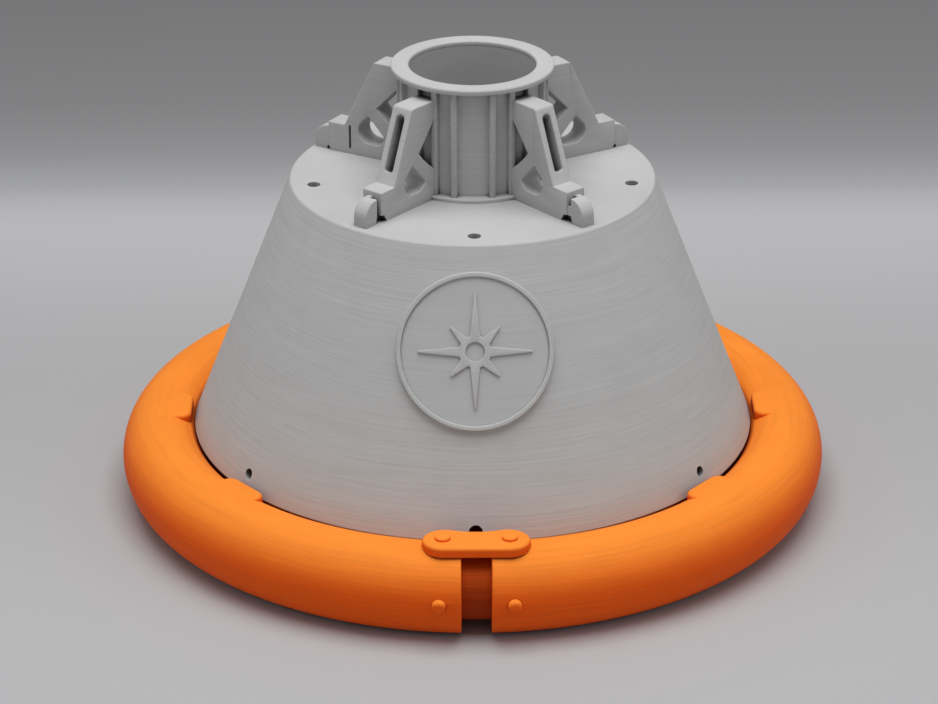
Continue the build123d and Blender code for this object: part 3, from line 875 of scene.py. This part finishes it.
# %% [markdown]
# ## Heat shield
#
# Below the cone the capsule is closed by a dished shell with a flat foot. A ring on it reaches up
# into the cone and takes the screws. The dish could be a part of a sphere, but its foot is flat, so
# the whole section is one outline that is spun like the cone's.

# %% Heat shield
FOOT_FLAT, FLOOR_T, SHIELD_R, EDGE_R = 28, 2.4, 67.3, 69
SEAT_OUT, SEAT_IN, SEAT_TOP = 64.36, 62.16, BASE_Z + 7


def dish(foot_z, rim_r, rim_z, steps=16):
    """Points from the foot's edge to the rim, bulging 1.2 mm below a straight line."""
    shares = [step / steps for step in range(steps + 1)]
    return [(FOOT_FLAT + (rim_r - FOOT_FLAT) * t, foot_z + (rim_z - foot_z) * t - 4.8 * t * (1 - t))
            for t in shares]


outside = dish(0, SHIELD_R, TUBE_RZ)
inside = dish(FLOOR_T, SHIELD_R - FLOOR_T, TUBE_RZ + FLOOR_T)
shield = spun("smooth_shield", [
    (0, 0), *outside, (EDGE_R, BASE_Z), (SEAT_OUT, BASE_Z), (SEAT_OUT, SEAT_TOP),
    (SEAT_IN, SEAT_TOP), (SEAT_IN, BASE_Z), *reversed(inside), (0, FLOOR_T)], 192)
# The screws' holes are half a millimetre narrower here than in the cone
for azimuth, radius, up in SCREWS:
    start = towards(azimuth) * (DRILL_FROM_R - 4) + Vector((0, 0, BASE_Z + up))
    combine(shield, drill(radius - 0.25, DRILL_L, start, towards(azimuth)))
hand_over(shield, "capsule", "shield_grey", "heat_shield")

# %% [markdown]
# ## Emblem
#
# A raised round emblem sits high on the front of the cone, with a plain band and a star. Modelled
# straight on the curved wall it would be hard to draw. So the disc with its band is spun flat, and
# the star is a flat plate, softened and then cut into strips. After that every vertex is dragged
# straight back until the flat shape lies on the cone, and the two are united.

# %% Laying a flat shape on the cone
EMBLEM_UP = 41.8
lean = math.atan(SLOPE)
up_slope = Vector((0, math.sin(lean), math.cos(lean)))
outwards = Vector((0, -math.cos(lean), math.sin(lean)))
middle_r = BASE_R - EMBLEM_UP * SLOPE
emblem_place = Vector((0, -middle_r, BASE_Z + EMBLEM_UP))


def lay_on_cone(piece):
    """Move a shape from the XY plane to the emblem's place and lay it on the cone's surface."""
    for vertex in piece.data.vertices:
        across, up, height = vertex.co / MM
        far = (middle_r - up * math.sin(lean)) / math.cos(lean)
        curve = math.cos(2 * lean) / math.cos(lean) ** 2
        sag = (far - math.sqrt(far ** 2 - curve * across ** 2)) / curve
        on_cone = emblem_place + Vector((across, 0, 0)) + up_slope * up + outwards * (height - sag)
        vertex.co = on_cone * MM


print("the cone leans by", round(math.degrees(lean), 1), "degrees")

# %% Emblem: disc and band
EMBLEM_R, BAND_R, EMBLEM_T, RELIEF = 18.6, 17.4, 0.9, 0.6
LOW, HIGH = -0.2, EMBLEM_T + RELIEF
# Rows of points across the disc let it bend with the cone
rows = [float(r) for r in range(2, 17, 2)]
emblem = spun("soft_emblem", rounded([
    (0, LOW, 0), *[(r, LOW, 0) for r in rows], (EMBLEM_R, LOW, 0), (EMBLEM_R, HIGH, 0.3),
    (BAND_R, HIGH, 0.3), (BAND_R, EMBLEM_T, 0), *[(r, EMBLEM_T, 0) for r in reversed(rows)],
    (0, EMBLEM_T, 0)]), 144)
print("emblem", 2 * EMBLEM_R, "mm across")

# %% Emblem: star
# The long and the short points, and the directions in which the hub shows beside each
LONG, SHORT = (13.5, (18.0, 23.1, 28.3)), (8.1, (16.7, 21.9, 27.0))
HUB_R, HUB_HOLE_R, TIP_W, STAR_T = 3.85, 2.2, 0.5, 1.0
corners = []
for i in range(8):
    point_r, hub_turns = SHORT if i % 2 else LONG
    turn = Matrix.Rotation(math.radians(-45 * i), 2)
    corners += [tuple(turn @ Vector((side * TIP_W / 2, point_r))) for side in (-1, 1)]
    for angle in hub_turns:
        corners.append(tuple(turn @ Matrix.Rotation(math.radians(-angle), 2) @ Vector((0, HUB_R))))
star = plate("star", corners, STAR_T, -(HIGH - STAR_T / 2))
star.rotation_euler = (-math.pi / 2, 0, 0)
fix_place(star)
combine(star, drill(HUB_HOLE_R, 4 * STAR_T, (0, 0, -STAR_T), (0, 0, 1)))
soften(star, 0.2)
bpy.ops.object.mode_set(mode="EDIT")
for x in range(-13, 14, 2):
    bpy.ops.mesh.select_all(action="SELECT")
    bpy.ops.mesh.bisect(plane_co=(x * MM, 0, 0), plane_no=(1, 0, 0), threshold=0.001 * MM)
bpy.ops.object.mode_set(mode="OBJECT")
lay_on_cone(emblem)
lay_on_cone(star)
combine(emblem, star, "UNION")
hand_over(emblem, "capsule", "emblem_grey", "emblem", angle=30)

# %% [markdown]
# ## Flotation collar
#
# The collar is a ring of oval section in two halves that meet at the back. A scaled torus would
# have the same section, but no flat ends at the mouth. So the oval is spun through almost half a
# turn, its front face is extruded and dragged level with the mouth, and that end gets a soft edge.
# The ring's inner side comes 0.4 mm closer to the cone than in the CAD model, as in the photo.

# %% Right half of the collar
RING_R, MOUTH = 77.9, 7.1
BEFORE_MOUTH = 4.5


def oval(grow, count=96):
    """The collar's section, grown by this much all round."""
    turns = [2 * math.pi * i / count for i in range(count)]
    return [(RING_R + (TUBE_RX + grow) * math.cos(t), TUBE_RZ + (TUBE_RZ + grow) * math.sin(t))
            for t in turns]


def arc_of_tube(name, grow, start, end, steps):
    """A stretch of the tube between two azimuths."""
    made = spun(name, oval(grow), steps, end - start)
    settle(made, start)
    return made


def faces_the_mouth(centre, normal):
    """Whether a face is the end of the tube at the front."""
    return centre.x < 20 and centre.y < 0 and normal.x < -0.99


half = arc_of_tube("soft_collar_right", 0, BEFORE_MOUTH, 180, 156)
bpy.ops.object.mode_set(mode="EDIT")
pick(faces_the_mouth)
bpy.ops.mesh.extrude_region_move(TRANSFORM_OT_translate={"value": (-MM, 0, 0)})
shape = bmesh.from_edit_mesh(half.data)
for vertex in shape.verts:
    if vertex.select:
        from_axis = (vertex.co.xy - Vector((-MM, 0))).length
        vertex.co.x = MOUTH / 2 * MM
        vertex.co.y = -math.sqrt(from_axis ** 2 - vertex.co.x ** 2)
bmesh.update_edit_mesh(half.data)
bpy.ops.mesh.region_to_loop()
bpy.ops.mesh.bevel(offset=0.4 * MM, segments=4, affect="EDGES", clamp_overlap=False)
bpy.ops.object.mode_set(mode="OBJECT")
print("mouth", MOUTH, "mm wide")

# %% [markdown]
# ## Pads
#
# Four flat pads lie on top of each half, against the cone, and hold the capsule in the middle. One
# is a plate with rounded corners and a soft top edge. It is copied to its four places and united
# with the half, because on the real collar they are printed in one.

# %% Pads on the collar
PAD_IN, PAD_OUT, PAD_W, PAD_ROUND, PAD_H = 70.6, 79.5, 14, 2.8, 10.0
PAD_SINK = 0.15
pad = plate("pad", rounded([
    (PAD_IN, -PAD_W / 2, PAD_ROUND), (PAD_OUT, -PAD_W / 2, PAD_ROUND),
    (PAD_OUT, PAD_W / 2, PAD_ROUND), (PAD_IN, PAD_W / 2, PAD_ROUND)]), PAD_H)
pad.rotation_euler = (-math.pi / 2, 0, 0)
pad.location = (0, 0, (TUBE_TOP - PAD_SINK - PAD_H / 2) * MM)
fix_place(pad)
bevel_rim(lambda centre, normal: normal.z > 0.9, 0.9, 5)
for azimuth in (50, 90, 130, 168):
    copied = copy_of(pad, "pad")
    settle(copied, azimuth)
    combine(half, copied, "UNION")
bpy.data.objects.remove(pad)
print("half with pads:", len(half.data.polygons), "faces")

# %% [markdown]
# ## Holes, and the left half
#
# The ends of the collar have a socket for the neck, a hole for the clasp's pin and one for the
# knob. The left half could be built the same way again, but a mirrored copy is surer to match. A
# mirror turns a mesh inside out, so its normals are recalculated.

# %% Holes in the collar, and its left half
NECK_STEP, SOCKET_END = 3.2, 3.85
PIN_X, PIN_Y, PIN_DEPTH, PIN_HOLE_R = 7.8, -77.5, 8, 1.5
KNOB_AT, KNOB_HOLE_R, KNOB_HOLE = Vector((8.8, -87.66, 11)), 1.85, 4.1
pin_hole = (PIN_X, PIN_Y, TUBE_TOP - PIN_DEPTH - 0.1)
knob_out = Vector((KNOB_AT.x, KNOB_AT.y, 0)).normalized()
combine(half, arc_of_tube("socket", 0.1 - NECK_STEP, -SOCKET_END, SOCKET_END, 10))
combine(half, drill(PIN_HOLE_R, 2 * PIN_DEPTH, pin_hole, (0, 0, 1)))
combine(half, drill(KNOB_HOLE_R, 2 * KNOB_HOLE, KNOB_AT - knob_out * KNOB_HOLE, knob_out))


def mirrored(piece, name):
    """A copy of a piece on the other side of the YZ plane."""
    copied = copy_of(piece, name)
    copied.scale.x = -1
    fix_place(copied)
    bpy.ops.object.mode_set(mode="EDIT")
    bpy.ops.mesh.select_all(action="SELECT")
    bpy.ops.mesh.normals_make_consistent(inside=False)
    bpy.ops.object.mode_set(mode="OBJECT")
    return copied


other_half = mirrored(half, "soft_collar_left")
hand_over(half, "collar", "collar_orange", "collar_right")
hand_over(other_half, "collar", "collar_orange", "collar_left")

# %% [markdown]
# ## Neck
#
# In the mouth a thinner neck joins the two ends. It could be any short rod, but it follows the ring,
# so it is a short stretch of the same tube, grown by a negative amount. Its ends are hidden in the
# sockets.

# %% Neck
NECK_END = 3.75
neck = arc_of_tube("smooth_neck", -NECK_STEP, -NECK_END, NECK_END, 10)
hand_over(neck, "collar", "neck_orange", "collar_neck")

# %% [markdown]
# ## Clasp
#
# The link plate lies across the mouth. Two discs and a bar would give its shape roughly, but its
# back edge is curved in between the pins, so it is drawn as one outline. Its top edge is rounded
# well, and the underside is hollowed by the tube it lies on.

# %% Link plate
LINK_T, LINK_SKIRT, END_X, END_R = 1.8, 0.6, 7.5, 5.1
WAIST_R, WAIST_LOW = 19.755, 4.0
right_end = []
for step in range(33):
    turn = math.radians(-90 + 180 * step / 32)
    right_end.append((END_X + END_R * math.cos(turn), END_R * math.sin(turn)))
waist = [(x, WAIST_LOW + WAIST_R - math.sqrt(WAIST_R ** 2 - x ** 2)) for x in range(6, -7, -1)]
left_end = [(-x, -y) for x, y in right_end]
thick = LINK_T + LINK_SKIRT
link_plate = plate("soft_link", right_end + waist + left_end, thick)
link_plate.rotation_euler = (-math.pi / 2, 0, 0)
link_plate.location = (0, PIN_Y * MM, (TUBE_TOP + LINK_T - thick / 2) * MM)
fix_place(link_plate)
bevel_rim(lambda centre, normal: normal.z > 0.9, 0.8, 5)
bevel_rim(lambda centre, normal: normal.z < -0.9, 0.2, 5)
combine(link_plate, arc_of_tube("tube", 0.25, -15, 15, 32))
for x in (PIN_X, -PIN_X):
    below = (x, PIN_Y, TUBE_TOP - PIN_DEPTH / 2)
    combine(link_plate, drill(PIN_HOLE_R, PIN_DEPTH, below, (0, 0, 1)))
hand_over(link_plate, "clasp", "collar_orange", "clasp_link")

# %% [markdown]
# ## Pins and knobs
#
# The clasp's pins have a low round head on the link, and the knobs sit on the ends of the collar,
# below it. A cylinder with a bevel would come close, but a head and a shank in one are quicker as a
# turned piece: a short rounded outline, spun about its own axis. The left ones are mirrored copies.

# %% Pins and knobs
PIN_R, PIN_HEAD_R, KNOB_R, KNOB_IN, KNOB_OUT = 1.4, 1.85, 1.75, -4, 1.3
head_top = LINK_T + 0.75
pin = spun("soft_pin_right", rounded([
    (0, -PIN_DEPTH, 0), (PIN_R, -PIN_DEPTH, 0.2), (PIN_R, LINK_T, 0), (PIN_HEAD_R, LINK_T, 0),
    (PIN_HEAD_R, head_top, 0.6), (0, head_top, 0)]), 48)
settle(pin, 90, TUBE_TOP, PIN_X, PIN_Y)
knob = spun("soft_knob_right", rounded([
    (0, KNOB_IN, 0), (KNOB_R, KNOB_IN, 0.2), (KNOB_R, KNOB_OUT, 1.1), (0, KNOB_OUT, 0)], 8), 48)
knob.rotation_euler = knob_out.to_track_quat("Z", "Y").to_euler()
knob.location = KNOB_AT * MM
fix_place(knob)
for piece, body, word in ((pin, "clasp", "clasp_pin"), (knob, "collar", "knob")):
    other = mirrored(piece, piece.name.replace("right", "left"))
    hand_over(piece, body, "collar_orange", word + "_right")
    hand_over(other, body, "collar_orange", word + "_left")
